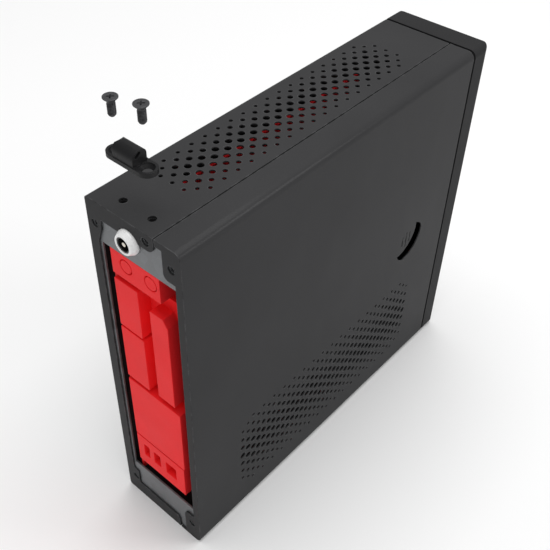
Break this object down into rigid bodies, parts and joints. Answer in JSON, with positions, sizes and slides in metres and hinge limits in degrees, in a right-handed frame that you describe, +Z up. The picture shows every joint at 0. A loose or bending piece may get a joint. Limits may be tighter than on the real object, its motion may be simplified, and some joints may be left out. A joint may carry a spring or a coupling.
{
  "type": "nas enclosure",
  "caption": "Slim upright steel enclosure with a sliding perforated side cover, moulded front bezel, rear connector aperture and a screw-on cable hook lifted off its seat.",
  "frame": {"origin": "under the middle of the whole object's box, on the plane it stands on", "axes": "+Z up, +Y to the rear with the connectors, +X to the board tray, -X to the sliding cover"},
  "size_m": [0.056, 0.2258, 0.2597],
  "materials": {
    "cover_paint": "fine matt powder coat",
    "zinc": "galvanised",
    "bezel_plastic": "fine moulded grain",
    "button_metal": "turned and satin",
    "small_board": "solder mask",
    "clear_plastic": "clear moulded",
    "hook_plastic": "moulded",
    "dark_screw": "blackened steel",
    "black_plastic": "moulded",
    "pin_metal": "plated",
    "nut_white": "smooth moulded",
    "board_red": "plain red",
    "port_red": "plain red",
    "standoff_brass": "turned",
    "bright_screw": "plated",
    "heatsink_metal": "extruded",
    "drive_metal": "cast",
    "lead_rubber": "jacket"
  },
  "bodies": {
    "case": {"left_cover": "cover_paint", "board_tray": "cover_paint", "rear_panel": "zinc", "front_wall": "zinc", "front_bezel": "bezel_plastic", "button_board": "small_board", "power_light_pipe": "clear_plastic", "drive_light_pipe": "clear_plastic", "jack_body": "black_plastic", "jack_pin": "pin_metal", "jack_nut": "nut_white", "mainboard": "board_red", "ps2_ports": "port_red", "serial_port": "port_red", "vga_port": "port_red", "parallel_port": "port_red", "lan_usb_ports": "port_red", "audio_ports": "port_red", "board_standoffs": "standoff_brass", "board_screws": "bright_screw", "processor_heatsink": "heatsink_metal", "fan_frame": "black_plastic", "memory_slot": "black_plastic", "memory_module": "small_board", "drive_bracket": "zinc", "bracket_screws": "bright_screw", "upper_drive": "drive_metal", "lower_drive": "drive_metal", "drive_screws": "bright_screw", "power_lead": "lead_rubber", "button_lead": "lead_rubber"},
    "sliding_cover": {"right_cover": "cover_paint"},
    "button": {"power_button": "button_metal"},
    "hook": {"cable_hook": "hook_plastic"},
    "screw_a": {"hook_screw_a": "dark_screw"},
    "screw_b": {"hook_screw_b": "dark_screw"},
    "fan": {"fan_rotor": "black_plastic"}
  },
  "joints": [
    {"name": "cover_slide", "type": "slide", "parent": "case", "child": "sliding_cover", "axis": [0, 1, 0], "range_m": [0, 0.21]},
    {"name": "button_press", "type": "slide", "parent": "case", "child": "button", "axis": [0, 1, 0], "range_m": [0, 0.0012], "stiffness_N_per_m": 400},
    {"name": "hook_drop", "type": "slide", "parent": "case", "child": "hook", "axis": [0, 0, 1], "range_m": [-0.02275, 0]},
    {"name": "screw_a_drive", "type": "slide", "parent": "hook", "child": "screw_a", "axis": [0, 0, 1], "range_m": [-0.02355, 0]},
    {"name": "screw_b_drive", "type": "slide", "parent": "hook", "child": "screw_b", "axis": [0, 0, 1], "range_m": [-0.02785, 0]},
    {"name": "fan_spin", "type": "hinge", "parent": "case", "child": "fan", "pos_m": [-0.0022, 0.02165, 0.112], "axis": [1, 0, 0], "continuous": true}
  ]
}
